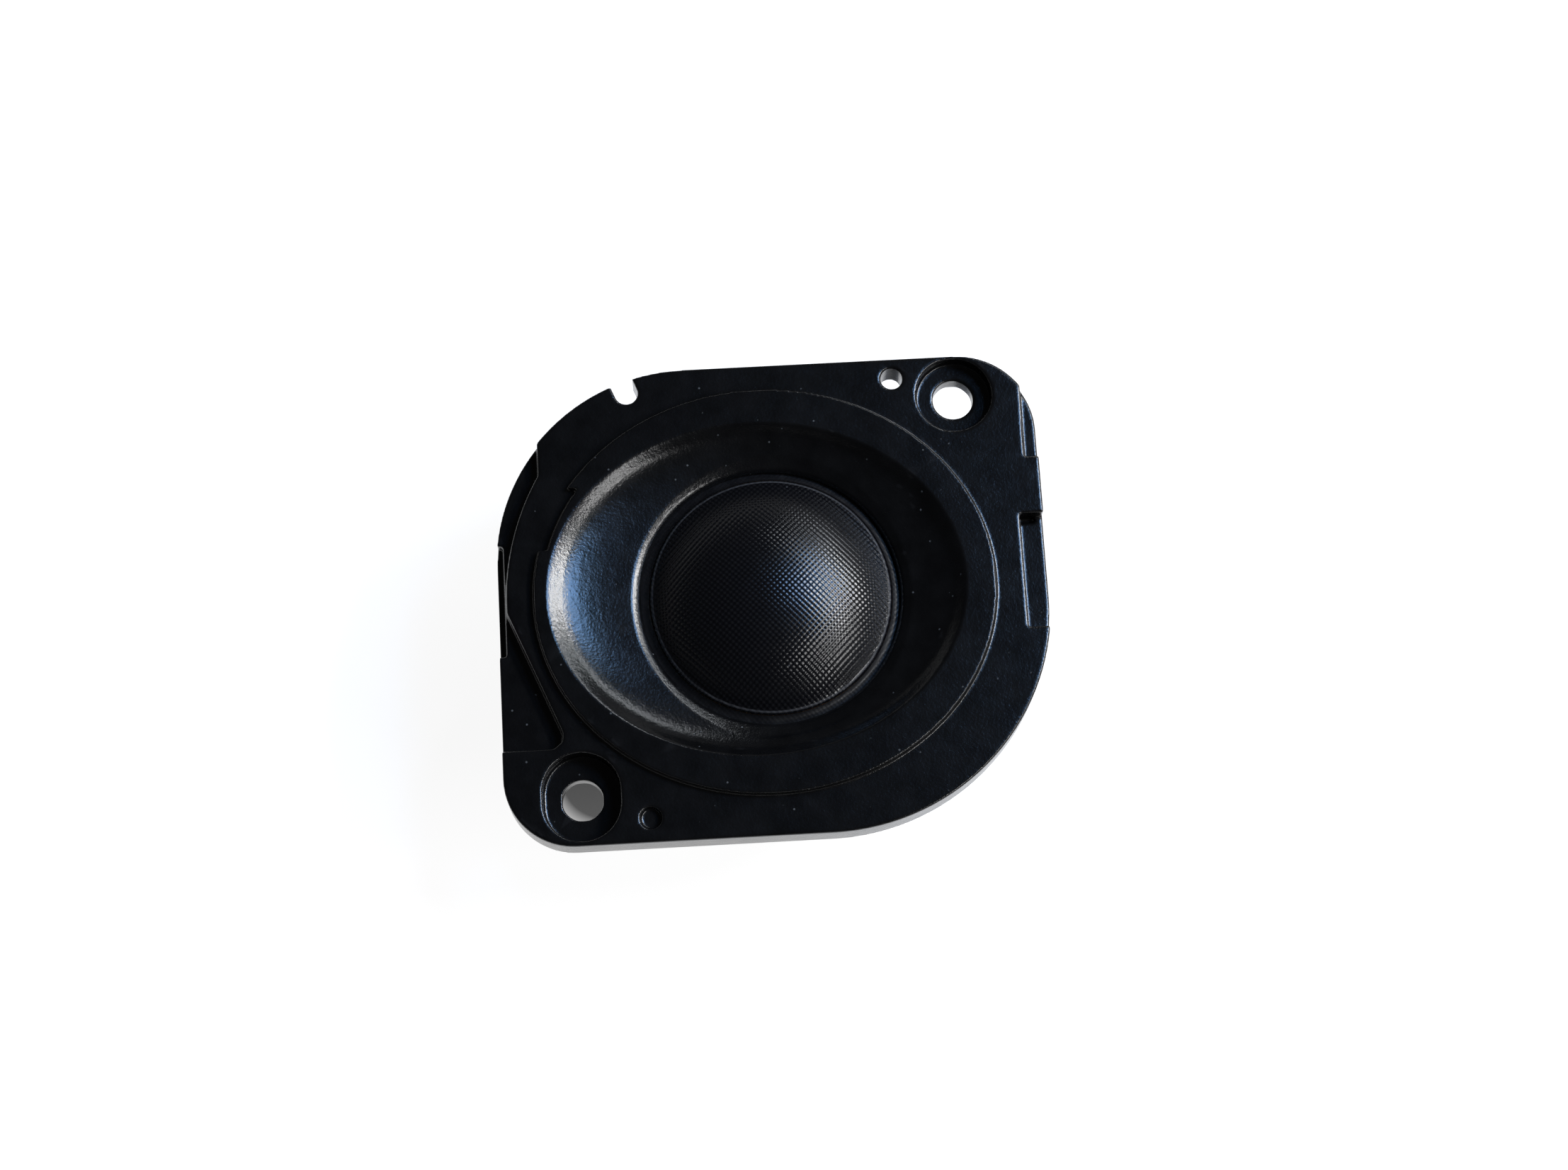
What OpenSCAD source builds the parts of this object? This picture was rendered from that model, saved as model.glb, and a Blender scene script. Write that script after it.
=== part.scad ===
// Car dome tweeter with an oval waveguide face plate, a 25 mm soft dome and a closed rear housing.
// The origin is on the dome's axis, in the plane of the flange's back face. +Z points out of the face.

/* [Face plate] */
// Distance from the dome axis to the left edge of the flange
edge_left = 28.1; // [27.9:0.1:29]
// Distance from the dome axis to the right edge of the flange
edge_right = 28.6; // [28:0.1:29]
// Distance from the dome axis to the top edge of the flange
edge_top = 24.45; // [24.2:0.05:25.2]
// Distance from the dome axis to the bottom edge of the flange
edge_bottom = 25.3; // [25:0.1:26]
// Thickness of the flange at its skirt
flange_t = 4; // [3.8:0.1:4.4]
// Width of the skirt round the hollow back of the flange
skirt_w = 1.8; // [1.4:0.1:2.2]
// Corner radius beside the upper right screw hole
upper_right_r = 8.1; // [7.5:0.1:9]
// Corner radius beside the lower left screw hole
lower_left_r = 7.2; // [6.5:0.1:8.5]
// Radius of the large corner at the upper left
upper_left_r = 20.15; // [19:0.05:21]
// Radius of the large corner at the lower right
lower_right_r = 23.7; // [22:0.1:25]
// Distance of each screw hole from the dome axis, along X and along Y
screw_offset = 20.25; // [20:0.05:20.5]
// Radius of the two through holes for the mounting screws
screw_hole_r = 2.1; // [1.9:0.05:2.3]
// Radius of the counterbores for the mounting screw heads
counterbore_r = 3.95; // [3.6:0.05:4.1]
// Half the extra length of the lower left counterbore, along Y
counterbore_slot = 0.6; // [0:0.1:0.8]

/* [Waveguide] */
// Half width of the raised oval ring
ring_half_w = 23.7; // [23.4:0.1:24]
// Half height of the raised oval ring
ring_half_h = 21.35; // [21:0.05:21.5]
// Height of the raised oval ring above the flange
ring_h = 0.8; // [0.6:0.1:1.2]
// Half width of the horn's mouth
mouth_half_w = 21.4; // [20.8:0.1:21.6]
// Half height of the horn's mouth
mouth_half_h = 17.55; // [17:0.05:18]
// How far the mouth's centre lies left of the dome axis
mouth_shift = 1.45; // [1.2:0.05:1.7]
// Radius of the round throat
throat_r = 13.4; // [13.2:0.05:13.7]
// Height of the throat's edge above the flange's back face
throat_z = 2.55; // [2.4:0.05:2.7]

/* [Diaphragm] */
// Radius of the dome, which is also the voice coil's radius
dome_r = 12.5; // [12.4:0.05:12.6]
// Height of the dome above its edge
dome_h = 5; // [4:0.1:5.5]
// Height of the dome's edge above the flange's back face
dome_z = 2; // [1.9:0.05:2.1]
// Thickness of the coated silk
silk_t = 0.25; // [0.2:0.01:0.3]
// Length of the winding on the voice coil
winding_h = 2.4; // [2:0.1:2.8]

/* [Motor] */
// Thickness of the magnet
magnet_t = 3; // [2.5:0.1:3.2]
// Radius of the magnet
magnet_r = 11.2; // [10.5:0.1:11.5]
// Thickness of the pole plate
pole_t = 2; // [1.8:0.1:2.2]
// Thickness of the yoke's floor
yoke_floor_t = 2; // [1.8:0.1:2.2]
// Outer radius of the yoke
yoke_r = 15.5; // [15.3:0.1:15.6]

/* [Rear housing] */
// Outer radius of the rear housing
housing_r = 18.8; // [18.7:0.1:19]
// Height of the electronics bay behind the motor
bay_h = 6.8; // [6.6:0.1:7.5]
// Thickness of the rear cover
cover_t = 1.4; // [1.2:0.1:1.8]
// Distance of each assembly screw from the dome axis
assembly_screw_at = 21.3; // [21.2:0.05:21.4]

/* [Hidden] */
$fn = 96;
cut = 0.5;

// Face plate
far = 40;
ring_shift = [-0.6, 0.22];
ring_relief = 0.9;
ring_relief_sector = [[-far, 11.9], [-12, 11.9], [-12, 5.4], [-far, 5.4]];
ring_top_z = flange_t + ring_h;
mouth_rise = 0.4;
horn_sides = 96;
horn_start_r = throat_r - 0.35;
horn_wall_steps = 7;
horn_wall = [[0, 0], [0.4, 0.15], [0.72, 0.403], [0.85, 0.667]];
horn_lip_steps = 5;
horn_lip = [[0.85, 0.667], [0.92, 0.816], [0.985, 0.95], [1.02, 1.009]];
throat_edge = [[0, -0.65], [0.15, -0.35], [0.35, -0.17], [1.9, 0.61]];
pocket_z = 1.6;
boss_r = 4.7;
rib_t = 1.1;
rib_z = 0.3;
rib_angles = [0, 22, 68, 90, 112, 158, 180, 202, 248, 270, 292, 338];
small_hole_at = [13.85, 22.35];
small_hole_r = 1.15;
blind_hole_at = [-13.4, -22.8];
blind_hole_r = 1.1;
blind_hole_z = flange_t - 0.7;
notch_at = [-13.9, 22.2];
notch_r = 1.2;
notch_turn = 21.5;
notch_run = 5;
upper_counterbore_z = flange_t - 1.8;
lower_counterbore_z = flange_t - 2.2;
ledge_z = flange_t - 1.4;
ledge_r = 27.15;
ledge_x = -23.4;
ledge_top_y = 19;
ledge_bottom_y = -15.2;
ledge_slope = [[-27.48, 0.06], [-21.9, -13.6], [-22, -14.5], [-22.9, ledge_bottom_y]];
left_recess_x = -27.35;
left_recess_y = [-5.1, 6.7];
left_recess_z = 1.2;
right_recess_z = flange_t - 1.5;
right_slot_z = 1.8;
upper_recess_z = flange_t - 1.2;
upper_recess = [[27.1, 13.1], [27.2, 21], [far, 21], [far, 13.1]];
lower_recess_x = 26.1;
lower_recess_y = [-5.1, 7];
slot_size = [1.7, 0.7];

// Stack under the face plate, from the front to the back
gasket_t = 0.3;
gasket_inner_r = 15.4;
rim_r = 17.5;
rim_inner_r = 15.2;
seat_z = pocket_z - gasket_t;
ring_bottom_z = -0.5;
surround_inner_r = dome_r + 0.1;
surround_steps = 8;
former_t = 0.15;
former_top_z = dome_z - 0.05;
former_bottom_z = -2.9;
winding_t = 0.3;
winding_z = ring_bottom_z - pole_t / 2 - winding_h / 2;
pole_r = dome_r - former_t - 0.25;
gap_outer_r = dome_r + winding_t + 0.3;
yoke_bottom_z = ring_bottom_z - pole_t - magnet_t - yoke_floor_t;
pad_r = 9;
pad_t = 2;

// Rear housing and the bay behind the motor
slip = 0.05;
shelf_t = 1.2;
shelf_r = 13.4;
bay_r = 17.3;
bay_top_z = yoke_bottom_z - shelf_t;
bay_bottom_z = bay_top_z - bay_h;
lug_r = 2.4;
lug_t = 1.5;
lug_angles = [45, 135, 225, 315];
pilot_r = 0.9;
pilot_end_z = 3.4;
screw_r = 0.85;
screw_end_z = 3.1;
screw_clear_r = 1.15;
screw_head_r = 1.9;
screw_head_h = 1.1;
post_r = 1;
post_at = 15.6;
post_angles = [190, 270, 350];
board_t = 1;
board_r = bay_r - 0.2;
board_gap = 0.4;
board_top_z = bay_top_z - board_gap;
board_bottom_z = board_top_z - board_t;
rattle_pad_r = 8.5;
wire_r = 0.35;
wire_at = 16.4;
wire_channel_r = 0.55;
wire_angle = 60;
wire_end_z = board_bottom_z - 0.3;
tab_t = 0.3;
tab_w = 1.8;
tab_z = 0.2;
tab_end_r = 17.1;
lead_r = 0.12;
capacitor_r = 2.4;
capacitor_len = 11;
capacitor_at = [0, -6.5, board_bottom_z - capacitor_r - 0.1];
capacitor_lead_r = 0.3;
capacitor_lead_x = 8;
shell_w = 10;
shell_h = 5.2;
shell_wall = 0.9;
shell_y = 13.6;
shell_end_y = 24;
shell_back_t = 1.5;
shell_z = board_bottom_z - shell_h;
latch = [3, 1.4, 0.7];
latch_y = 21.6;
pin_w = 0.64;
pin_pitch = 2.5;
pin_y = 11.6;
pin_end_y = shell_end_y - 2;
pin_z = shell_z + shell_h / 2;
pin_top_z = board_top_z + 0.35;
solder_r = 0.9;
solder_top_r = 0.5;
solder_h = 0.3;
cover_lip_t = 0.9;
cover_lip_h = 0.8;

function polar(r, angle) = [r * cos(angle), r * sin(angle)];
function bezier(a, b, c, d, t) =
    pow(1 - t, 3) * a + 3 * pow(1 - t, 2) * t * b + 3 * (1 - t) * t * t * c + pow(t, 3) * d;
function curve(points, t) = bezier(points[0], points[1], points[2], points[3], t);

// What one rounded corner of the flange leaves out. The corner's centre is at c, and it faces along way.
module corner_cut(c, way, r) {
    difference() {
        translate([way[0] > 0 ? c[0] : c[0] - far, way[1] > 0 ? c[1] : c[1] - far])
            square(far);
        translate(c)
            circle(r);
    }
}

// Outline of the flange, drawn smaller by the inset all the way round.
module outline(inset = 0) {
    difference() {
        translate([inset - edge_left, inset - edge_bottom])
            square([edge_left + edge_right - 2 * inset, edge_top + edge_bottom - 2 * inset]);
        corner_cut([edge_right - upper_right_r, edge_top - upper_right_r], [1, 1], upper_right_r - inset);
        corner_cut([lower_left_r - edge_left, lower_left_r - edge_bottom], [-1, -1], lower_left_r - inset);
        corner_cut([upper_left_r - edge_left, edge_top - upper_left_r], [-1, 1], upper_left_r - inset);
        corner_cut([edge_right - lower_right_r, lower_right_r - edge_bottom], [1, -1], lower_right_r - inset);
    }
}

module oval(half_w, half_h) {
    scale([half_w / half_h, 1])
        circle(half_h);
}

// The raised oval, with a shallow relief in its upper left side.
module raised_ring() {
    translate(ring_shift)
        oval(ring_half_w - ring_relief, ring_half_h - ring_relief);
    difference() {
        translate(ring_shift)
            oval(ring_half_w, ring_half_h);
        polygon(ring_relief_sector);
    }
}

// The horn's profile from inside the throat to past the lip, as shares of its run and of its rise.
// It is a bowl that steepens towards the mouth, then rolls slightly over as it meets the top of the ring.
function horn_profile() = concat(
    [for (k = [0:horn_wall_steps - 1]) curve(horn_wall, k / horn_wall_steps)],
    [for (k = [0:horn_lip_steps]) curve(horn_lip, k / horn_lip_steps)]
);

// One point of the horn's wall, from a point of the profile.
function horn_point(angle, share) =
    let (
        start_point = polar(horn_start_r, angle),
        lip_point = [
            mouth_half_w * cos(angle) - mouth_shift,
            mouth_half_h * sin(angle) + mouth_rise
        ]
    )
    [
        start_point[0] + share[0] * (lip_point[0] - start_point[0]),
        start_point[1] + share[0] * (lip_point[1] - start_point[1]),
        throat_z + share[1] * (ring_top_z - throat_z)
    ];

// The space inside the horn, from the throat's plane to above the lip.
module horn_space() {
    angles = [for (i = [0:horn_sides - 1]) 360 * i / horn_sides];
    profile = horn_profile();
    wall = [for (share = profile) for (a = angles) horn_point(a, share)];
    lid = [for (a = angles) horn_point(a, profile[len(profile) - 1]) + [0, 0, cut]];
    rings = len(profile) + 1;
    sides = [
        for (k = [0:rings - 2]) for (i = [0:horn_sides - 1])
            let (j = (i + 1) % horn_sides, low = k * horn_sides, high = low + horn_sides)
            each [[low + i, high + i, high + j], [low + i, high + j, low + j]]
    ];
    base = [for (i = [0:horn_sides - 1]) i];
    top = [for (i = [horn_sides - 1:-1:0]) (rings - 1) * horn_sides + i];
    polyhedron(points = concat(wall, lid), faces = concat(sides, [base], [top]));
}

// The throat: a straight bore whose front edge rounds over into the horn.
module throat() {
    edge = [for (p = throat_edge) [throat_r + p[0], throat_z + p[1]]];
    top = edge[len(edge) - 1];
    rotate_extrude()
        polygon(concat([[0, -cut], [throat_r, -cut]], edge, [[0, top[1]]]));
}

// Region left of the raised part of the flange, which steps down to a ledge.
module left_ledge() {
    difference() {
        translate([-far, ledge_bottom_y])
            square([far + ledge_x, ledge_top_y - ledge_bottom_y]);
        circle(ledge_r);
    }
    polygon(concat(ledge_slope, [[-far, ledge_bottom_y], [-far, ledge_slope[0][1]]]));
}

// Recesses cut into the flange's front along its left and right edges.
module edge_recesses() {
    translate([0, 0, ledge_z])
        linear_extrude(far)
            left_ledge();
    translate([-far, left_recess_y[0], left_recess_z])
        cube([far + left_recess_x, left_recess_y[1] - left_recess_y[0], far]);
    translate([0, 0, upper_recess_z])
        linear_extrude(far)
            polygon(upper_recess);
    translate([lower_recess_x, lower_recess_y[0], right_recess_z])
        cube([far, lower_recess_y[1] - lower_recess_y[0], far]);
    translate([lower_recess_x, lower_recess_y[1] - slot_size[1], right_slot_z])
        cube([slot_size[0], slot_size[1], far]);
}

module screw_hole(counterbore_z, slot) {
    translate([0, 0, -cut])
        cylinder(r = screw_hole_r, h = flange_t);
    for (side = slot > 0 ? [-1, 1] : [0])
        translate([0, side * slot, counterbore_z])
            cylinder(r = counterbore_r, h = flange_t);
    if (slot > 0)
        translate([-counterbore_r, -slot, counterbore_z])
            cube([2 * counterbore_r, 2 * slot, flange_t]);
}

module edge_notch() {
    translate(notch_at)
        circle(notch_r);
    translate(notch_at)
        rotate(notch_turn)
            translate([-notch_r, 0])
                square([2 * notch_r, notch_run]);
}

// Hollow in the flange's back, which leaves the skirt, the bosses and the ribs.
module back_pocket() {
    difference() {
        translate([0, 0, -cut])
            linear_extrude(pocket_z + cut)
                difference() {
                    outline(skirt_w);
                    for (side = [-1, 1])
                        translate(side * [screw_offset, screw_offset])
                            circle(boss_r);
                    translate(notch_at)
                        circle(notch_r + skirt_w);
                    translate(small_hole_at)
                        circle(small_hole_r + 1);
                }
        for (angle = rib_angles)
            rotate(angle)
                translate([housing_r + 0.6, -rib_t / 2, rib_z])
                    cube([far, rib_t, far]);
    }
}

module face_plate() {
    color("#17191c")
        difference() {
            union() {
                linear_extrude(flange_t)
                    outline();
                translate([0, 0, flange_t - cut])
                    linear_extrude(ring_h + cut)
                        raised_ring();
            }
            back_pocket();
            horn_space();
            throat();
            edge_recesses();
            translate([screw_offset, screw_offset])
                screw_hole(upper_counterbore_z, 0);
            translate([-screw_offset, -screw_offset])
                screw_hole(lower_counterbore_z, counterbore_slot);
            translate([small_hole_at[0], small_hole_at[1], -cut])
                cylinder(r = small_hole_r, h = far);
            translate([blind_hole_at[0], blind_hole_at[1], blind_hole_z])
                cylinder(r = blind_hole_r, h = far);
            translate([0, 0, -cut])
                linear_extrude(far)
                    edge_notch();
            for (angle = lug_angles)
                rotate(angle)
                    translate([assembly_screw_at, 0, 0])
                        cylinder(r = pilot_r, h = pilot_end_z);
        }
}

// A flat ring between two heights.
module flat_ring(inner_r, outer_r, low_z, high_z) {
    translate([0, 0, low_z])
        difference() {
            cylinder(r = outer_r, h = high_z - low_z);
            translate([0, 0, -cut])
                cylinder(r = inner_r, h = high_z - low_z + 2 * cut);
        }
}

module front_gasket() {
    color("#202020")
        flat_ring(gasket_inner_r, rim_r, seat_z, pocket_z);
}

module dome() {
    sphere_r = (dome_r * dome_r + dome_h * dome_h) / (2 * dome_h);
    color("#141416")
        intersection() {
            translate([0, 0, dome_z + dome_h - sphere_r])
                difference() {
                    sphere(sphere_r);
                    sphere(sphere_r - silk_t);
                }
            translate([0, 0, former_top_z])
                cylinder(r = dome_r + 1, h = dome_h + 1);
        }
}

// The flexible edge: a curved web from the dome down to a flat rim.
module surround() {
    function web(i, drop) =
        let (t = i / surround_steps)
        [
            bezier(surround_inner_r, surround_inner_r + 0.5, rim_inner_r - 1.2, rim_inner_r, t),
            bezier(dome_z, seat_z + 0.1, seat_z, seat_z, t) - drop
        ];
    color("#0f0f10")
        rotate_extrude()
            polygon(concat(
                [for (i = [0:surround_steps]) web(i, 0)],
                [[rim_r, seat_z], [rim_r, seat_z - silk_t]],
                [for (i = [surround_steps:-1:0]) web(i, silk_t)]
            ));
}

module coil_former() {
    color("#c8a45a")
        flat_ring(dome_r - former_t, dome_r, former_bottom_z, former_top_z);
}

module voice_coil() {
    color("#b5652b")
        flat_ring(dome_r, dome_r + winding_t, winding_z, winding_z + winding_h);
}

// Places a child at both wiring angles, one each side of the connector.
module at_both_wires() {
    for (angle = [wire_angle, 180 - wire_angle])
        rotate(angle)
            children();
}

module coil_leads() {
    color("#b5652b")
        at_both_wires()
            translate([dome_r, 0, tab_z + tab_t / 2])
                rotate([0, 90, 0])
                    cylinder(r = lead_r, h = rim_inner_r - dome_r);
}

module tab_shape() {
    translate([rim_inner_r - cut, -tab_w / 2, tab_z])
        cube([tab_end_r - rim_inner_r + cut, tab_w, tab_t]);
}

module diaphragm_ring() {
    color("#26282b")
        difference() {
            flat_ring(rim_inner_r, rim_r, ring_bottom_z, seat_z - silk_t);
            at_both_wires() {
                tab_shape();
                translate([wire_at, 0, ring_bottom_z - cut])
                    cylinder(r = wire_channel_r, h = tab_z - ring_bottom_z + cut);
            }
        }
}

module terminal_tabs() {
    color("#c9a24a")
        intersection() {
            at_both_wires()
                tab_shape();
            flat_ring(rim_inner_r, rim_r, tab_z - cut, tab_z + tab_t + cut);
        }
}

module damping_pad() {
    color("#3a3a3c")
        translate([0, 0, ring_bottom_z])
            cylinder(r = pad_r, h = pad_t);
}

module pole_plate() {
    color("#b9bcc0")
        translate([0, 0, ring_bottom_z - pole_t])
            cylinder(r = pole_r, h = pole_t);
}

module magnet() {
    color("#9a9da3")
        translate([0, 0, ring_bottom_z - pole_t - magnet_t])
            cylinder(r = magnet_r, h = magnet_t);
}

module yoke() {
    color("#b9bcc0")
        difference() {
            translate([0, 0, yoke_bottom_z])
                cylinder(r = yoke_r, h = ring_bottom_z - yoke_bottom_z);
            translate([0, 0, yoke_bottom_z + yoke_floor_t])
                cylinder(r = gap_outer_r, h = far);
        }
}

module mounting_lug() {
    translate([assembly_screw_at, 0, pocket_z - lug_t])
        cylinder(r = lug_r, h = lug_t);
    translate([housing_r - 1, -lug_r, pocket_z - lug_t])
        cube([assembly_screw_at - housing_r + 1, 2 * lug_r, lug_t]);
}

// Short posts that hold the circuit board, from z = low_z to z = high_z.
module board_posts(low_z, high_z) {
    for (angle = post_angles)
        rotate(angle)
            translate([post_at, 0, low_z])
                cylinder(r = post_r, h = high_z - low_z);
}

module rear_housing() {
    color("#1c1e21") {
        difference() {
            union() {
                translate([0, 0, bay_bottom_z])
                    cylinder(r = housing_r, h = pocket_z - bay_bottom_z);
                for (angle = lug_angles)
                    rotate(angle)
                        mounting_lug();
            }
            translate([0, 0, ring_bottom_z])
                cylinder(r = rim_r + slip, h = far);
            translate([0, 0, yoke_bottom_z])
                cylinder(r = yoke_r + slip, h = far);
            translate([0, 0, bay_top_z - cut])
                cylinder(r = shelf_r, h = far);
            difference() {
                translate([0, 0, bay_bottom_z - cut])
                    cylinder(r = bay_r, h = bay_h + cut);
                board_posts(board_top_z, bay_top_z);
            }
            at_both_wires()
                translate([wire_at, 0, bay_top_z - cut])
                    cylinder(r = wire_channel_r, h = far);
            for (angle = lug_angles)
                rotate(angle)
                    translate([assembly_screw_at, 0, -cut])
                        cylinder(r = screw_clear_r, h = pocket_z + 2 * cut);
            translate([-shell_w / 2 - slip, shell_y, bay_bottom_z - cut])
                cube([shell_w + 2 * slip, far, board_bottom_z - bay_bottom_z + cut]);
        }
    }
}

module assembly_screws() {
    head_z = pocket_z - lug_t;
    color("#8d9096")
        for (angle = lug_angles)
            rotate(angle)
                translate([assembly_screw_at, 0, 0])
                    difference() {
                        union() {
                            translate([0, 0, head_z])
                                cylinder(r = screw_r, h = screw_end_z - head_z);
                            translate([0, 0, head_z - screw_head_h])
                                cylinder(r1 = screw_head_r - 0.4, r2 = screw_head_r, h = screw_head_h);
                        }
                        for (turn = [0, 90])
                            rotate(turn)
                                translate([-1, -0.2, head_z - screw_head_h - cut])
                                    cube([2, 0.4, 0.6 + cut]);
                    }
}

module lead_wire(angle) {
    rotate(angle)
        translate([wire_at, 0, wire_end_z])
            cylinder(r = wire_r, h = tab_z - wire_end_z);
}

module lead_wire_positive() {
    color("#a33a2c")
        lead_wire(wire_angle);
}

module lead_wire_negative() {
    color("#2a2a2a")
        lead_wire(180 - wire_angle);
}

module anti_rattle_pad() {
    color("#3a3a3c")
        translate([0, 0, board_top_z])
            cylinder(r = rattle_pad_r, h = yoke_bottom_z - board_top_z);
}

// The two pins of the connector, grown by the given clearance.
module contact_pin(side, grow = 0) {
    w = pin_w + 2 * grow;
    x = side * pin_pitch / 2 - w / 2;
    translate([x, pin_y - grow, pin_z - w / 2])
        cube([w, pin_end_y - pin_y, w]);
    translate([x, pin_y - grow, pin_z - w / 2])
        cube([w, w, pin_top_z - pin_z + w / 2]);
}

module contact_pin_positive() {
    color("#d8c27a")
        contact_pin(1);
}

module contact_pin_negative() {
    color("#d8c27a")
        contact_pin(-1);
}

module circuit_board() {
    color("#2c5a3a")
        difference() {
            translate([0, 0, board_bottom_z])
                cylinder(r = board_r, h = board_t);
            at_both_wires()
                translate([wire_at, 0, board_bottom_z - cut])
                    cylinder(r = wire_r + slip, h = board_t + 2 * cut);
            for (side = [-1, 1]) {
                contact_pin(side, slip);
                translate([side * capacitor_lead_x, capacitor_at[1], board_bottom_z - cut])
                    cylinder(r = capacitor_lead_r + slip, h = board_t + 2 * cut);
            }
        }
}

module capacitor() {
    groove_x = capacitor_len / 2 - 1.6;
    color("#4a4d52")
        translate(capacitor_at)
            rotate([0, 90, 0])
                difference() {
                    cylinder(r = capacitor_r, h = capacitor_len, center = true);
                    translate([0, 0, groove_x])
                        flat_ring(capacitor_r - 0.25, capacitor_r + 1, 0, 0.6);
                }
}

module capacitor_leads() {
    color("#c4c6ca")
        for (side = [-1, 1])
            translate([side * capacitor_lead_x, capacitor_at[1], capacitor_at[2]]) {
                cylinder(r = capacitor_lead_r, h = board_top_z + solder_h - capacitor_at[2]);
                sphere(capacitor_lead_r);
                rotate([0, -side * 90, 0])
                    cylinder(r = capacitor_lead_r, h = capacitor_lead_x - capacitor_len / 2);
            }
}

module solder_cone() {
    cylinder(r1 = solder_r, r2 = solder_top_r, h = solder_h);
}

module solder_joints() {
    color("#c9ccd1")
        difference() {
            union() {
                at_both_wires()
                    translate([wire_at, 0, board_bottom_z])
                        mirror([0, 0, 1])
                            solder_cone();
                for (side = [-1, 1]) {
                    translate([side * pin_pitch / 2, pin_y + pin_w / 2, board_top_z])
                        solder_cone();
                    translate([side * capacitor_lead_x, capacitor_at[1], board_top_z])
                        solder_cone();
                }
            }
            for (angle = [wire_angle, 180 - wire_angle])
                lead_wire(angle);
            for (side = [-1, 1]) {
                contact_pin(side);
                translate([side * capacitor_lead_x, capacitor_at[1], board_bottom_z])
                    cylinder(r = capacitor_lead_r, h = far);
            }
        }
}

module connector_shell() {
    color("#e8e6df")
        difference() {
            union() {
                translate([-shell_w / 2, shell_y, shell_z])
                    cube([shell_w, shell_end_y - shell_y, shell_h]);
                translate([-latch[0] / 2, latch_y, shell_z + shell_h])
                    cube(latch);
            }
            translate([shell_wall - shell_w / 2, shell_y + shell_back_t, shell_z + shell_wall])
                cube([shell_w - 2 * shell_wall, far, shell_h - 2 * shell_wall]);
            for (side = [-1, 1])
                contact_pin(side, slip);
        }
}

module rear_cover() {
    color("#1c1e21") {
        translate([0, 0, bay_bottom_z - cover_t])
            cylinder(r = housing_r, h = cover_t);
        difference() {
            flat_ring(bay_r - slip - cover_lip_t, bay_r - slip, bay_bottom_z, bay_bottom_z + cover_lip_h);
            translate([-shell_w / 2 - 1, 0, bay_bottom_z - cut])
                cube([shell_w + 2, far, far]);
        }
        board_posts(bay_bottom_z, board_bottom_z);
    }
}

face_plate();
front_gasket();
dome();
surround();
coil_former();
voice_coil();
coil_leads();
diaphragm_ring();
terminal_tabs();
damping_pad();
pole_plate();
magnet();
yoke();
rear_housing();
assembly_screws();
lead_wire_positive();
lead_wire_negative();
anti_rattle_pad();
circuit_board();
capacitor();
capacitor_leads();
solder_joints();
connector_shell();
contact_pin_positive();
contact_pin_negative();
rear_cover();
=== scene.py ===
"""Car dome tweeter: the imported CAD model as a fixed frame, with detailed meshes, materials and light."""
import math

import bmesh
import bpy
from mathutils import Matrix, Vector

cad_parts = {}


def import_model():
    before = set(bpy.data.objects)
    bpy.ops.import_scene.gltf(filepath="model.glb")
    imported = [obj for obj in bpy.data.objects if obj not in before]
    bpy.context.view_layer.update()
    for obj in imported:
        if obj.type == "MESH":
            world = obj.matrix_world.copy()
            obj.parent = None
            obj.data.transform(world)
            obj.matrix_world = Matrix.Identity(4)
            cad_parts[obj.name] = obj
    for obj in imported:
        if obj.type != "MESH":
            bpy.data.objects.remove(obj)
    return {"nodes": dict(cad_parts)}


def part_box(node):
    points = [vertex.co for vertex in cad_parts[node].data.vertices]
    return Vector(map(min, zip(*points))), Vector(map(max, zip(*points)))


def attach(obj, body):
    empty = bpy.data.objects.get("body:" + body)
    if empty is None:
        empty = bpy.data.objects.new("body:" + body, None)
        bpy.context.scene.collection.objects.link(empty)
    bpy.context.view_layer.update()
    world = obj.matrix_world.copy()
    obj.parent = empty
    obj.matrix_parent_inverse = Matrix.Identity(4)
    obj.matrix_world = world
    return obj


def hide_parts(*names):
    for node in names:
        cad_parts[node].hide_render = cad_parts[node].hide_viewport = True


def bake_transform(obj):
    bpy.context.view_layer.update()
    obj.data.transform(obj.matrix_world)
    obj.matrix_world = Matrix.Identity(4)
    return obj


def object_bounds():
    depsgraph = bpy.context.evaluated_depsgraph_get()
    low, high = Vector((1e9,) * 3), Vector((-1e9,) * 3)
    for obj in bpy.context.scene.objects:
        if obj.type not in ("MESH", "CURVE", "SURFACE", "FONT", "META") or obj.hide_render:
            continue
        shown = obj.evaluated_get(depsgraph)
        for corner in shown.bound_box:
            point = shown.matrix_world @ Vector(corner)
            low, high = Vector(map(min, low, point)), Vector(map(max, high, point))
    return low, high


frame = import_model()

MM = 0.001
NODES = frame["nodes"]
CAD_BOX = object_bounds()
HOUSING = "housing"
DIAPHRAGM = "diaphragm"

# The floor glows almost white, except in a soft-edged ellipse of painted shadow under the part, along its
# two ears.
FLOOR_COLOUR = (0.3, 0.3, 0.302)
FLOOR_GAP = 0.05 * MM
FLOOR_HALF = 3.0
FLOOR_GLOW = 0.92
PAINTED_SHADOW_GLOW = 0.05
PAINTED_SHADOW_SOFT_FROM = 0.89
PAINTED_SHADOW_LONG = 31 * MM
PAINTED_SHADOW_SHORT = 12.5 * MM
PAINTED_SHADOW_SHIFT = 3.2 * MM

# The camera looks at the face from just below its axis.
CAMERA_AT = Vector((-7.90, -79.76, 305.62)) * MM
CAMERA_RIGHT = Vector((0.9982, -0.0582, 0.0151))
CAMERA_BACK = Vector((-0.0296, -0.2574, 0.9658))
CAMERA_LENS = 69.92
CAMERA_SENSOR = 36

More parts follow.
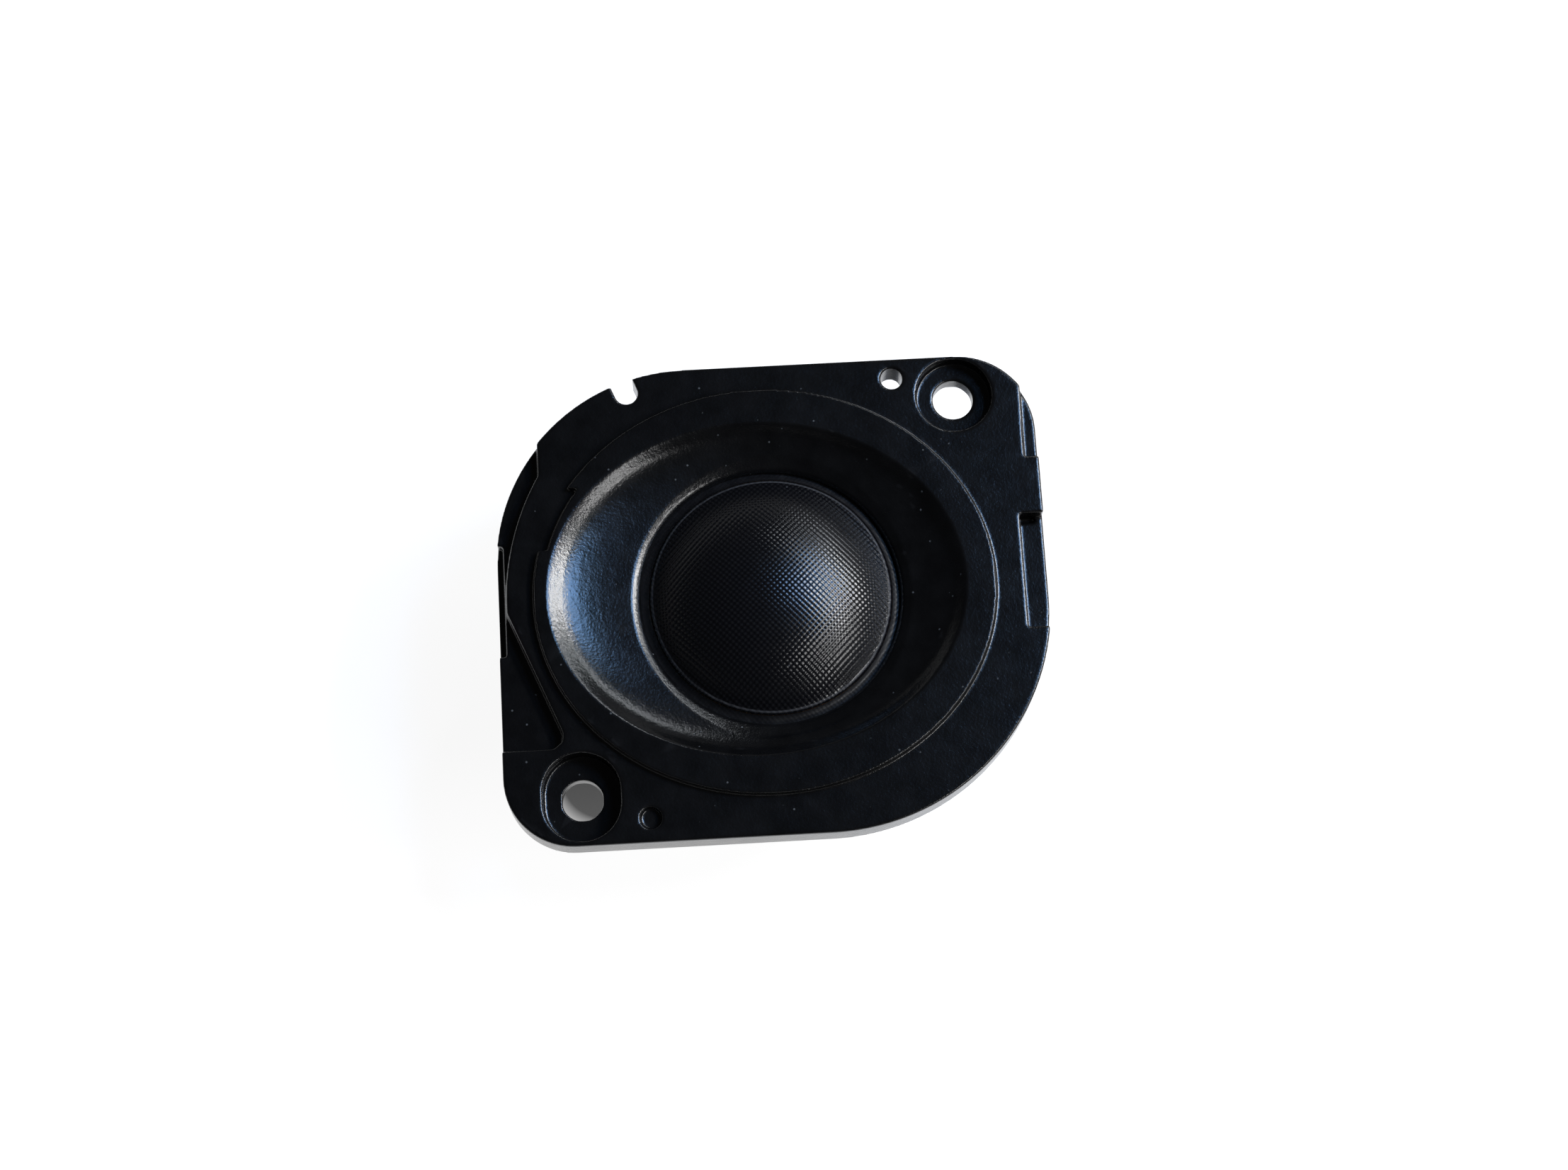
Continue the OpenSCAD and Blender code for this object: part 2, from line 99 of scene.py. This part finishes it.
# The surroundings are bright at the horizon and dark overhead.
HORIZON_GLOW = 0.6
OVERHEAD_GLOW = 0.02
HORIZON_HEIGHT = 0.3


# ---------------------------------------------------------------- mesh helpers

def new_object(name, mesh):
    obj = bpy.data.objects.new(name, mesh)
    bpy.context.scene.collection.objects.link(obj)
    return obj


def mesh_from(name, verts, faces):
    """A mesh from points in millimetres."""
    mesh = bpy.data.meshes.new(name)
    mesh.from_pydata([[MM * c for c in v] for v in verts], [], faces)
    mesh.update()
    return mesh


def edit(mesh, change):
    """Runs change on a bmesh of the mesh and writes it back."""
    bm = bmesh.new()
    bm.from_mesh(mesh)
    change(bm)
    bm.to_mesh(mesh)
    bm.free()
    mesh.update()


def weld(bm):
    """Joins the vertices that a CAD mesh has split."""
    bmesh.ops.remove_doubles(bm, verts=bm.verts, dist=0.002 * MM)


def weld_and_flatten(bm):
    """Welds a CAD mesh and joins its flat triangles into whole faces."""
    weld(bm)
    bmesh.ops.dissolve_limit(bm, angle_limit=math.radians(0.6), verts=bm.verts, edges=bm.edges)


def face_outwards(bm):
    bmesh.ops.recalc_face_normals(bm, faces=bm.faces)


def apply_modifiers(obj):
    graph = bpy.context.evaluated_depsgraph_get()
    mesh = bpy.data.meshes.new_from_object(obj.evaluated_get(graph))
    obj.modifiers.clear()
    obj.data = mesh


def shade_smooth(mesh, angle):
    mesh.polygons.foreach_set("use_smooth", [True] * len(mesh.polygons))
    mesh.set_sharp_from_angle(angle=math.radians(angle))


def dressed(obj, material, body, node):
    """Gives a piece its material and its body, and lets it stand for its CAD node."""
    obj.data.materials.clear()
    obj.data.materials.append(material)
    if body:
        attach(obj, body)
    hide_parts(node)
    return obj


def add_bevel(obj, width):
    bevel = obj.modifiers.new("Bevel", "BEVEL")
    bevel.width = width * MM
    bevel.segments = 3
    bevel.limit_method = "ANGLE"
    bevel.angle_limit = math.radians(32)
    bevel.harden_normals = False
    bevel.miter_outer = "MITER_ARC"


def bevelled(node, width, material, body=HOUSING):
    """A copy of a CAD node with its edges rounded by a width in millimetres."""
    obj = new_object(node + "_part", NODES[node].data.copy())
    edit(obj.data, weld_and_flatten)
    add_bevel(obj, width)
    apply_modifiers(obj)
    shade_smooth(obj.data, 40)
    return dressed(obj, material, body, node)


def lathe(name, profile, sides, smooth, closed=True):
    """Turns a profile of (radius, height) points in millimetres round the Z axis, smooth up to an angle.
    A point on the axis is shared. A closed profile joins its last point to its first."""
    verts, rows = [], []
    for radius, height in profile:
        count = 1 if radius == 0 else sides
        row = []
        for i in range(count):
            turn = 2 * math.pi * i / sides
            row.append(len(verts))
            verts.append((radius * math.cos(turn), radius * math.sin(turn), height))
        rows.append(row * sides if count == 1 else row)
    faces = []
    following = rows[1:] + rows[:1] if closed else rows[1:]
    for low, high in zip(rows, following):
        for i in range(sides):
            j = (i + 1) % sides
            ring = [low[i], low[j], high[j], high[i]]
            face = [v for k, v in enumerate(ring) if v not in ring[:k]]
            if len(face) > 2:
                faces.append(face)
    obj = new_object(name, mesh_from(name, verts, faces))
    edit(obj.data, face_outwards)
    shade_smooth(obj.data, smooth)
    return obj


def arc(centre_r, centre_z, radius, start, sweep, steps):
    """Profile points on an arc, its angles in degrees from straight outwards."""
    angles = [math.radians(start + sweep * k / steps) for k in range(steps + 1)]
    return [(centre_r + radius * math.cos(a), centre_z + radius * math.sin(a)) for a in angles]


def outer_radius(node):
    """How far a round CAD node reaches from the Z axis, in millimetres."""
    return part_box(node)[1].x / MM


def heights(node):
    """A CAD node's bottom and top in millimetres."""
    low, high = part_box(node)
    return low.z / MM, high.z / MM


# ---------------------------------------------------------------- material helpers

def shade(colour, factor, extra=0.0):
    return tuple(factor * c + extra for c in colour)


class Shader:
    """A material's node tree, built one node at a time in the object's own coordinates."""

    def __init__(self, name, colour, roughness, **values):
        self.material = bpy.data.materials.new(name)
        self.material.use_nodes = True
        self.tree = self.material.node_tree
        self.surface = self.tree.nodes["Principled BSDF"]
        self.place = self.tree.nodes.new("ShaderNodeTexCoord").outputs["Object"]
        self.surface.inputs["Base Color"].default_value = (*colour, 1)
        self.surface.inputs["Roughness"].default_value = roughness
        for socket, value in values.items():
            self.surface.inputs[socket.replace("_", " ")].default_value = value
        self.normal = None

    def make(self, kind, inputs=(), **settings):
        node = self.tree.nodes.new(kind)
        for key, value in settings.items():
            setattr(node, key, value)
        for key, value in dict(inputs).items():
            if isinstance(value, bpy.types.NodeSocket):
                self.tree.links.new(value, node.inputs[key])
            else:
                node.inputs[key].default_value = value
        return node

    def math(self, operation, *values):
        return self.make("ShaderNodeMath", enumerate(values), operation=operation).outputs[0]

    def stretched(self, x, y, z):
        inputs = {"Vector": self.place, "Scale": (x, y, z)}
        return self.make("ShaderNodeMapping", inputs).outputs[0]

    def noise(self, per_mm, detail, place=None, rough=0.55):
        inputs = {"Vector": place or self.place, "Scale": per_mm / MM, "Detail": detail, "Roughness": rough}
        return self.make("ShaderNodeTexNoise", inputs).outputs["Fac"]

    def cells(self, per_mm):
        inputs = {"Vector": self.place, "Scale": per_mm / MM}
        return self.make("ShaderNodeTexVoronoi", inputs).outputs["Distance"]

    def ranged(self, value, low, high, to_low=0, to_high=1):
        """Maps a value from low..high to to_low..to_high, and holds it there."""
        inputs = {"Value": value, "From Min": low, "From Max": high, "To Min": to_low, "To Max": to_high}
        return self.make("ShaderNodeMapRange", inputs).outputs[0]

    def distance(self, value, target):
        return self.math("ABSOLUTE", self.math("SUBTRACT", value, target))

    def colour(self, share, first, second):
        """Blends two colours by a pattern, over whatever the base colour already is where first is None."""
        socket = self.surface.inputs["Base Color"]
        if first is None:
            first = socket.links[0].from_socket if socket.links else tuple(socket.default_value)
        else:
            first = (*first, 1)
        inputs = {0: share, 6: first, 7: (*second, 1)}
        mixed = self.make("ShaderNodeMix", inputs, data_type="RGBA").outputs[2]
        self.tree.links.new(mixed, socket)

    def rough(self, per_mm, detail, low, high, noise_high=0.7):
        """Uneven shine: patches of noise whose roughness runs from low to high."""
        value = self.ranged(self.noise(per_mm, detail), 0.3, noise_high, low, high)
        self.tree.links.new(value, self.surface.inputs["Roughness"])

    def bump(self, height, depth):
        """Raises the surface by depth millimetres where height is 1, on top of earlier bumps."""
        inputs = {"Height": height, "Distance": depth * MM, "Strength": 1.0}
        if self.normal:
            inputs["Normal"] = self.normal
        self.normal = self.make("ShaderNodeBump", inputs).outputs[0]
        self.tree.links.new(self.normal, self.surface.inputs["Normal"])

    def edges(self, low, high):
        """Where the surface is convex, as along a worn edge."""
        return self.ranged(self.make("ShaderNodeNewGeometry").outputs["Pointiness"], low, high)

    def axis(self, index):
        return self.make("ShaderNodeSeparateXYZ", {0: self.place}).outputs[index]

    def radius(self):
        """Distance from the Z axis, in metres."""
        flat = self.stretched(1, 1, 0)
        return self.make("ShaderNodeVectorMath", {0: flat}, operation="LENGTH").outputs["Value"]

    def weave(self, pitch, wander=None):
        """A plain weave seen from above: 1 and -1 in turn where threads cross, pitch millimetres apart."""
        waves = []
        for index in (0, 1):
            turns = self.math("MULTIPLY", self.axis(index), math.pi / (pitch * MM))
            if wander:
                turns = self.math("ADD", turns, wander)
            waves.append(self.math("SINE", turns))
        return self.math("MULTIPLY", *waves)

    def dust(self, amount, colour):
        """Fine specks of dust: small spots in a few of the cells of a cell pattern."""
        spot = self.ranged(self.cells(0.6), 0.03, 0.08, 1, 0)
        chosen = self.ranged(self.noise(0.9, 1), 0.72 - amount, 0.76 - amount)
        self.colour(self.math("MULTIPLY", spot, chosen), None, colour)

    def grooves(self, place, values):
        """Shallow grooves where place is one of the values, in millimetres."""
        for value in values:
            away = self.distance(place, value * MM)
            self.bump(self.ranged(away, 0.1 * MM, 0.3 * MM), 0.12)


# ---------------------------------------------------------------- materials

def moulded(name, colour, rough_low, rough_high, grain=0.012, dust=0.16, rings=(), seams=()):
    """Moulded plastic with a fine spark-eroded grain, a slightly uneven shine and worn edges.
    Rings are shallow grooves at a distance from the Z axis, seams are parting lines at a height."""
    shader = Shader(name, colour, rough_high, IOR=1.5)
    shader.colour(shader.ranged(shader.noise(0.35, 4), 0.35, 0.7), colour, shade(colour, 1.5, 0.001))
    shader.colour(shader.math("MULTIPLY", shader.edges(0.53, 0.62), 0.5), None, shade(colour, 3, 0.004))
    shader.dust(dust, (0.09, 0.095, 0.1))
    shader.rough(0.5, 5, rough_low, rough_high)
    shader.bump(shader.noise(3.6, 3), grain)
    shader.bump(shader.noise(1.1, 2), grain * 0.7)
    shader.grooves(shader.radius(), rings)
    shader.grooves(shader.axis(2), seams)
    return shader.material


def woven_silk():
    """Black coated silk in a plain weave, which glints where the threads cross, with a bright bead line."""
    shader = Shader(
        "dome_silk_woven", (0.004, 0.004, 0.005), 0.3, Sheen_Weight=0.02, Sheen_Roughness=0.4, IOR=1.5
    )
    bead_line_r = 12.25 * MM
    wander = shader.math("MULTIPLY", shader.noise(0.25, 2), 0.5)
    weave = shader.weave(0.31, wander)
    shader.bump(weave, 0.019)
    shader.bump(shader.noise(9, 2), 0.008)
    shader.colour(shader.ranged(weave, -0.3, 1), (0.002, 0.002, 0.003), (0.009, 0.009, 0.01))
    from_bead = shader.distance(shader.radius(), bead_line_r)
    shader.colour(shader.ranged(from_bead, 0.05 * MM, 0.13 * MM, 1, 0), None, (0.05, 0.05, 0.053))
    shader.rough(0.6, 4, 0.2, 0.25)
    shader.dust(0.14, (0.08, 0.08, 0.085))
    return shader.material


def coated_silk():
    """Silk under a thicker coating, which almost hides its weave."""
    shader = Shader("surround_coated_silk", (0.005, 0.005, 0.006), 0.42, IOR=1.46)
    shader.bump(shader.weave(0.27), 0.006)
    shader.bump(shader.noise(1.4, 3), 0.02)
    shader.rough(0.8, 4, 0.34, 0.5)
    return shader.material


def foam(name, colour):
    """Fine open-cell foam."""
    shader = Shader(name, colour, 0.9, IOR=1.4)
    pores = shader.cells(4.5)
    shader.colour(shader.ranged(pores, 0.1, 0.6), shade(colour, 0.35), shade(colour, 1.3))
    shader.bump(shader.ranged(pores, 0.05, 0.55, 1, 0), 0.05)
    shader.bump(shader.noise(3, 4), 0.03)
    return shader.material


def felt(name, colour):
    """Pressed fibres: long thin noise in two directions, with a soft sheen."""
    shader = Shader(name, colour, 0.95, Sheen_Weight=0.5, Sheen_Roughness=0.5)
    one = shader.noise(1.6, 5, shader.stretched(6, 1, 1))
    two = shader.noise(1.6, 5, shader.stretched(1, 6, 1))
    fibres = shader.math("MAXIMUM", one, two)
    shader.colour(shader.ranged(fibres, 0.45, 0.75), shade(colour, 0.6), shade(colour, 1.6))
    shader.bump(fibres, 0.06)
    return shader.material


def metal(name, colour, rough_low, rough_high, turned=0.0):
    """Metal with fine scratches, uneven polish and, if turned, the rings that a lathe leaves."""
    shader = Shader(name, colour, rough_low, Metallic=1.0)
    dull = shade(colour, 0.62)
    shader.colour(shader.ranged(shader.noise(0.6, 5), 0.4, 0.75), colour, dull)
    shader.colour(shader.ranged(shader.noise(0.12, 6, rough=0.7), 0.5, 0.8, 0, 0.5), None, dull)
    scratch = shader.noise(1.2, 4, shader.stretched(0.4, 7, 7))
    shader.rough(0.9, 5, rough_low, rough_high, 0.75)
    shader.bump(scratch, 0.006)
    if turned:
        ring_pitch = 0.09 * MM
        rings = shader.math("SINE", shader.math("MULTIPLY", shader.radius(), 2 * math.pi / ring_pitch))
        shader.bump(rings, turned)
    return shader.material


def film():
    """Amber plastic film, glossy and slightly cloudy."""
    shader = Shader("former_film", (0.42, 0.2, 0.05), 0.22, IOR=1.6, Coat_Weight=0.4)
    shader.colour(shader.ranged(shader.noise(0.5, 4), 0.35, 0.7), (0.42, 0.2, 0.05), (0.3, 0.13, 0.03))
    shader.bump(shader.noise(0.7, 3), 0.01)
    return shader.material


def insulation(name, colour):
    """Soft PVC insulation, slightly waxy."""
    shader = Shader(name, colour, 0.42, IOR=1.52)
    shader.colour(shader.ranged(shader.noise(0.9, 4), 0.35, 0.75), colour, shade(colour, 0.7))
    shader.rough(1.5, 3, 0.34, 0.5)
    shader.bump(shader.noise(3, 3), 0.01)
    return shader.material


def laminate():
    """Green solder mask over glass cloth, with copper tracks that show as raised lighter lines."""
    mask = (0.012, 0.09, 0.035)
    shader = Shader("board_laminate", mask, 0.28, IOR=1.55, Coat_Weight=0.3)
    tracks = shader.ranged(shader.cells(0.22), 0.42, 0.46)
    shader.colour(tracks, mask, (0.02, 0.16, 0.055))
    shader.bump(tracks, 0.03)
    shader.bump(shader.weave(0.4), 0.004)
    shader.rough(0.8, 4, 0.2, 0.36)
    return shader.material


def nylon():
    """Off-white nylon, slightly yellowed in patches, which lets a little light in."""
    shader = Shader(
        "connector_nylon", (0.72, 0.7, 0.63), 0.42,
        IOR=1.53, Subsurface_Weight=0.15, Subsurface_Scale=0.6 * MM
    )
    shader.colour(shader.ranged(shader.noise(0.3, 5), 0.35, 0.75), (0.74, 0.72, 0.65), (0.62, 0.59, 0.5))
    shader.rough(0.7, 4, 0.35, 0.52)
    shader.bump(shader.noise(5, 2), 0.008)
    return shader.material


# ---------------------------------------------------------------- pieces

def face_plate(material):
    """The CAD face plate with every edge softly rounded, as the mould leaves it."""
    obj = new_object("face_plate_moulding", NODES["face_plate"].data.copy())
    edit(obj.data, weld)
    voxel = obj.modifiers.new("Remesh", "REMESH")
    voxel.mode = "VOXEL"
    voxel.voxel_size = 0.15 * MM
    even = obj.modifiers.new("Smooth", "SMOOTH")
    even.factor = 0.5
    even.iterations = 5
    lean = obj.modifiers.new("Decimate", "DECIMATE")
    lean.ratio = 0.28
    apply_modifiers(obj)
    shade_smooth(obj.data, 60)
    return dressed(obj, material, HOUSING, "face_plate")


def dome(material):
    """The silk dome: a thin cap with a pressed bead where it meets the coil former."""
    top_z = heights("dome")[1]
    thickness, rings = 0.25, 72
    edge_r, edge_z, seat_z = outer_radius("coil_former"), 1.96, 2.0
    hem_inner, hem_outer = edge_r - 0.18, edge_r + 0.02
    bead_r, bead_width, bead_h = 12.28, 0.14, 0.1
    rise = top_z - seat_z
    sphere_r = (edge_r ** 2 + rise ** 2) / (2 * rise)
    centre_z = top_z - sphere_r
    outer = []
    for i in range(rings + 1):
        radius = edge_r * i / rings
        height = centre_z + math.sqrt(sphere_r ** 2 - radius ** 2)
        bead = math.exp(-((radius - bead_r) / bead_width) ** 2)
        outer.append((radius, height + bead_h * bead))
    inner = [(r * (1 - thickness / sphere_r), z - thickness) for r, z in reversed(outer)]
    inner[0] = (hem_inner, edge_z)
    obj = lathe("dome_cap", outer + [(hem_outer, edge_z)] + inner, 256, 50, closed=False)
    return dressed(obj, material, DIAPHRAGM, "dome")


def bezier(a, b, c, d, t):
    return (1 - t) ** 3 * a + 3 * (1 - t) ** 2 * t * b + 3 * (1 - t) * t * t * c + t ** 3 * d


def surround(material):
    """The flexible edge: its web spans from the dome, which moves, to the rim, which is clamped."""
    steps, thickness = 28, 0.22
    web_inner, rim_outer = outer_radius("coil_former") + 0.06, outer_radius("surround") - 0.02
    rim_inner, rim_middle = 15.2, 16.3
    high, low = 1.98, 1.29
    top = []
    for i in range(steps + 1):
        t = i / steps
        radius = bezier(web_inner, web_inner + 0.5, rim_inner - 1.2, rim_inner, t)
        top.append((radius, bezier(high, low + 0.1, low, low, t)))
    top += [(rim_middle, low), (rim_outer, low)]
    bottom = [(r, z - thickness) for r, z in reversed(top)]
    obj = lathe("surround_web", top + bottom, 192, 50)
    dressed(obj, material, None, "surround")
    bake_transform(obj)
    return obj


def winding(material):
    """The voice coil's single layer of round wire, turn by turn."""
    bottom, top = heights("voice_coil")
    inner_r, outer_r = outer_radius("coil_former"), outer_radius("voice_coil")
    turns, steps = 20, 6
    pitch = (top - bottom) / turns
    profile = [(inner_r, top), (inner_r, bottom)]
    for turn in range(turns):
        for k in range(steps):
            angle = math.pi * (k + 0.5) / steps
            height = bottom + pitch * (turn + 0.5) - 0.5 * pitch * math.cos(angle)
            profile.append((outer_r - 0.5 * pitch * (1 - math.sin(angle)), height))
    obj = lathe("voice_coil_winding", profile, 160, 80)
    return dressed(obj, material, DIAPHRAGM, "voice_coil")


def coil_leads(material):
    """The winding's two flying leads, which run between the coil and the terminal tabs."""
    obj = bevelled("coil_leads", 0.02, material, None)
    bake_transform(obj)
    return obj


def soft_disc(node, name, material, unevenness, waves):
    """A soft pad: the CAD disc with rounded edges, its faces sunk unevenly in waves."""
    low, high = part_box(node)
    bottom, top = heights(node)
    corner = min(0.35, (top - bottom) * 0.3)
    flat_r, rings = (high.x - low.x) / 2 / MM - corner, 24
    rising = [flat_r * i / rings for i in range(rings)]
    profile = [(r, top) for r in rising]
    profile += arc(flat_r, top - corner, corner, 90, -90, 6)
    profile += arc(flat_r, bottom + corner, corner, 0, -90, 6)
    profile += [(r, bottom) for r in reversed(rising)]
    obj = lathe(name, profile, 128, 60, closed=False)
    for v in obj.data.vertices:
        p = v.co / MM
        wave = math.sin(waves * p.x + 1.3) * math.sin(waves * p.y + 0.4)
        inward = unevenness * (0.5 + 0.5 * wave)
        v.co.z += (-inward if p.z > (bottom + top) / 2 else inward) * MM
    dressed(obj, material, HOUSING, node)
    return obj


def gasket(material):
    """The foam ring under the face plate, with softly rounded corners."""
    bottom, top = heights("front_gasket")
    inner_r, outer_r, corner = 15.4, outer_radius("front_gasket") - 0.02, 0.08
    left, right = inner_r + corner, outer_r - corner
    low, high = bottom + corner, top - corner
    profile = []
    corners = ((left, low, 180), (right, low, 270), (right, high, 0), (left, high, 90))
    for centre_r, centre_z, start in corners:
        profile += arc(centre_r, centre_z, corner, start, 90, 3)
    obj = lathe("front_gasket_ring", profile, 160, 60)
    dressed(obj, material, HOUSING, "front_gasket")
    return obj


def front_pieces(copper):
    """The face plate, the dome and its surround, the winding and the gasket."""
    black = moulded("face_plastic_moulded", (0.0026, 0.0026, 0.0028), 0.18, 0.23, grain=0.022, dust=0.26)
    face_plate(black)
    dome(woven_silk())
    surround(coated_silk())
    winding(copper)
    gasket(foam("gasket_foam_black", (0.03, 0.03, 0.032)))


def soft_pads():
    """The felt under the dome and the foam behind the motor."""
    grey_felt = felt("damping_felt_grey", (0.12, 0.12, 0.125))
    soft_disc("damping_pad", "damping_pad_felt", grey_felt, 0.08, 2.1)
    grey_foam = foam("anti_rattle_foam", (0.06, 0.06, 0.064))
    soft_disc("anti_rattle_pad", "anti_rattle_pad_foam", grey_foam, 0.05, 1.7)


def firm_pieces():
    """The ring, the motor, the rear housing and what it holds: CAD nodes with rounded edges."""
    rear_black = moulded(
        "housing_plastic_moulded", (0.007, 0.0078, 0.0085), 0.32, 0.46, grain=0.02, dust=0.2,
        rings=(5.5, 9.5, 15.6), seams=(-5.5,)
    )
    ring_black = moulded("ring_plastic_moulded", (0.012, 0.013, 0.014), 0.38, 0.5)
    brass = metal("contact_brass_stamped", (0.78, 0.56, 0.22), 0.22, 0.4)
    steel = metal("motor_steel_plated", (0.55, 0.56, 0.57), 0.28, 0.5, turned=0.003)
    nickel = metal("magnet_nickel_plated", (0.6, 0.58, 0.54), 0.16, 0.34)
    zinc = metal("screw_steel_plated", (0.5, 0.51, 0.52), 0.3, 0.48, turned=0.002)
    tin = metal("tinned_copper", (0.72, 0.73, 0.75), 0.25, 0.42)
    solder = metal("solder_joint", (0.62, 0.63, 0.65), 0.2, 0.45)
    can = metal("capacitor_can_aluminium", (0.16, 0.17, 0.2), 0.3, 0.5)
    red = insulation("wire_red_pvc", (0.35, 0.03, 0.02))
    black = insulation("wire_black_pvc", (0.02, 0.02, 0.021))
    for node, width, material, slot_name in (
        ("diaphragm_ring", 0.12, ring_black, "ring_plastic"),
        ("terminal_tabs", 0.06, brass, "contact_brass"),
        ("pole_plate", 0.2, steel, "motor_steel"),
        ("magnet", 0.25, nickel, "magnet_nickel"),
        ("yoke", 0.25, steel, "motor_steel"),
        ("rear_housing", 0.18, rear_black, "housing_plastic"),
        ("assembly_screws", 0.08, zinc, "screw_steel"),
        ("lead_wire_positive", 0.05, red, "wire_red"),
        ("lead_wire_negative", 0.05, black, "wire_black"),
        ("circuit_board", 0.05, laminate(), "board_green"),
        ("capacitor", 0.3, can, "capacitor_can"),
        ("capacitor_leads", 0.03, tin, "tinned_lead"),
        ("solder_joints", 0.06, solder, "solder"),
        ("connector_shell", 0.15, nylon(), "connector_plastic"),
        ("contact_pin_positive", 0.08, brass, "contact_brass"),
        ("contact_pin_negative", 0.08, brass, "contact_brass"),
        ("rear_cover", 0.3, rear_black, "housing_plastic"),
    ):
        bevelled(node, width, material)


def build_pieces():
    copper = metal("copper_enamelled", (0.72, 0.3, 0.13), 0.24, 0.4)
    front_pieces(copper)
    soft_pads()
    bevelled("coil_former", 0.03, film(), DIAPHRAGM)
    coil_leads(copper)
    firm_pieces()


# ---------------------------------------------------------------- stage, light and camera

def painted_shadow_reach(shader):
    """Distance from the middle of the ellipse of painted shadow, 1 on its edge."""
    x, y = shader.axis(0), shader.axis(1)
    diagonal = math.sqrt(2)
    along = shader.math("DIVIDE", shader.math("ADD", x, y), diagonal * PAINTED_SHADOW_LONG)
    aside = shader.math("ADD", shader.math("SUBTRACT", x, y), diagonal * PAINTED_SHADOW_SHIFT)
    across = shader.math("DIVIDE", aside, diagonal * PAINTED_SHADOW_SHORT)
    squares = [shader.math("POWER", value, 2) for value in (along, across)]
    return shader.math("SQRT", shader.math("ADD", *squares))


def floor():
    """A plain sheet just under the part, its glow dimmed by a painted shadow beneath the part."""
    height = CAD_BOX[0][2] - FLOOR_GAP
    corners = [(FLOOR_HALF * x, FLOOR_HALF * y) for x, y in ((-1, -1), (1, -1), (1, 1), (-1, 1))]
    mesh = bpy.data.meshes.new("floor_sheet")
    mesh.from_pydata([(x, y, height) for x, y in corners], [], [(0, 1, 2, 3)])
    obj = new_object("floor_sheet", mesh)
    shader = Shader("floor_pale_painted_shadow", FLOOR_COLOUR, 0.7)
    cloudy = shader.ranged(shader.noise(0.01, 3), 0.3, 0.7)
    shader.colour(cloudy, FLOOR_COLOUR, shade(FLOOR_COLOUR, 0.97))
    shader.surface.inputs["Emission Color"].default_value = (1, 1, 1, 1)
    # Painted shadow: the glow fades to almost nothing in a soft-edged ellipse under the part and its ears.
    glow_and_painted_shadow = shader.ranged(painted_shadow_reach(shader), PAINTED_SHADOW_SOFT_FROM, 1, PAINTED_SHADOW_GLOW, FLOOR_GLOW)
    shader.tree.links.new(glow_and_painted_shadow, shader.surface.inputs["Emission Strength"])
    mesh.materials.append(shader.material)


def softbox(name, direction, distance, width, height, watts, colour=(1, 1, 1)):
    """A rectangular soft light, its long side level, which looks at the middle of the part."""
    light = bpy.data.lights.new(name, "AREA")
    light.shape = "RECTANGLE"
    light.size, light.size_y = width, height
    light.energy = watts
    light.color = colour
    obj = bpy.data.objects.new(name, light)
    bpy.context.scene.collection.objects.link(obj)
    way = Vector(direction).normalized()
    obj.location = way * distance
    obj.rotation_euler = (-way).to_track_quat("-Z", "Y").to_euler()


def lights():
    """A narrow key light, a rim light on either side of it and a patch of blue sky over it."""
    softbox("key", (0.71, 0.19, 0.67), 0.55, 0.26, 0.06, 2)
    softbox("rim_low", (0.6, -0.36, 0.6), 0.6, 0.34, 0.05, 1)
    softbox("rim_high", (0.5, 0.66, 0.58), 0.6, 0.34, 0.05, 0.6, (0.9, 0.95, 1))
    softbox("sky", (0.5, 0.24, 0.83), 0.6, 0.2, 0.13, 1.35, (0.28, 0.54, 1))


def world():
    """Bright near the horizon and dark overhead, so that flat black faces stay black."""
    surroundings = bpy.data.worlds.new("studio")
    surroundings.use_nodes = True
    bpy.context.scene.world = surroundings
    tree = surroundings.node_tree
    background = tree.nodes["Background"]
    place = tree.nodes.new("ShaderNodeTexCoord")
    split = tree.nodes.new("ShaderNodeSeparateXYZ")
    height = tree.nodes.new("ShaderNodeMapRange")
    height.inputs["From Min"].default_value = 0.0
    height.inputs["From Max"].default_value = HORIZON_HEIGHT
    height.inputs["To Min"].default_value = HORIZON_GLOW
    height.inputs["To Max"].default_value = OVERHEAD_GLOW
    tree.links.new(place.outputs["Generated"], split.inputs[0])
    tree.links.new(split.outputs[2], height.inputs["Value"])
    tree.links.new(height.outputs[0], background.inputs["Strength"])
    background.inputs["Color"].default_value = (1, 1, 1, 1)


def camera():
    data = bpy.data.cameras.new("camera")
    data.sensor_width = CAMERA_SENSOR
    data.lens = CAMERA_LENS
    data.clip_start, data.clip_end = 0.01, 20
    obj = bpy.data.objects.new("camera", data)
    bpy.context.scene.collection.objects.link(obj)
    back = CAMERA_BACK.normalized()
    up = back.cross(CAMERA_RIGHT).normalized()
    turn = Matrix((up.cross(back), up, back)).transposed().to_4x4()
    obj.matrix_world = Matrix.Translation(CAMERA_AT) @ turn
    bpy.context.scene.camera = obj


camera()
floor()
lights()
world()
bpy.context.scene.view_settings.view_transform = "Standard"
build_pieces()
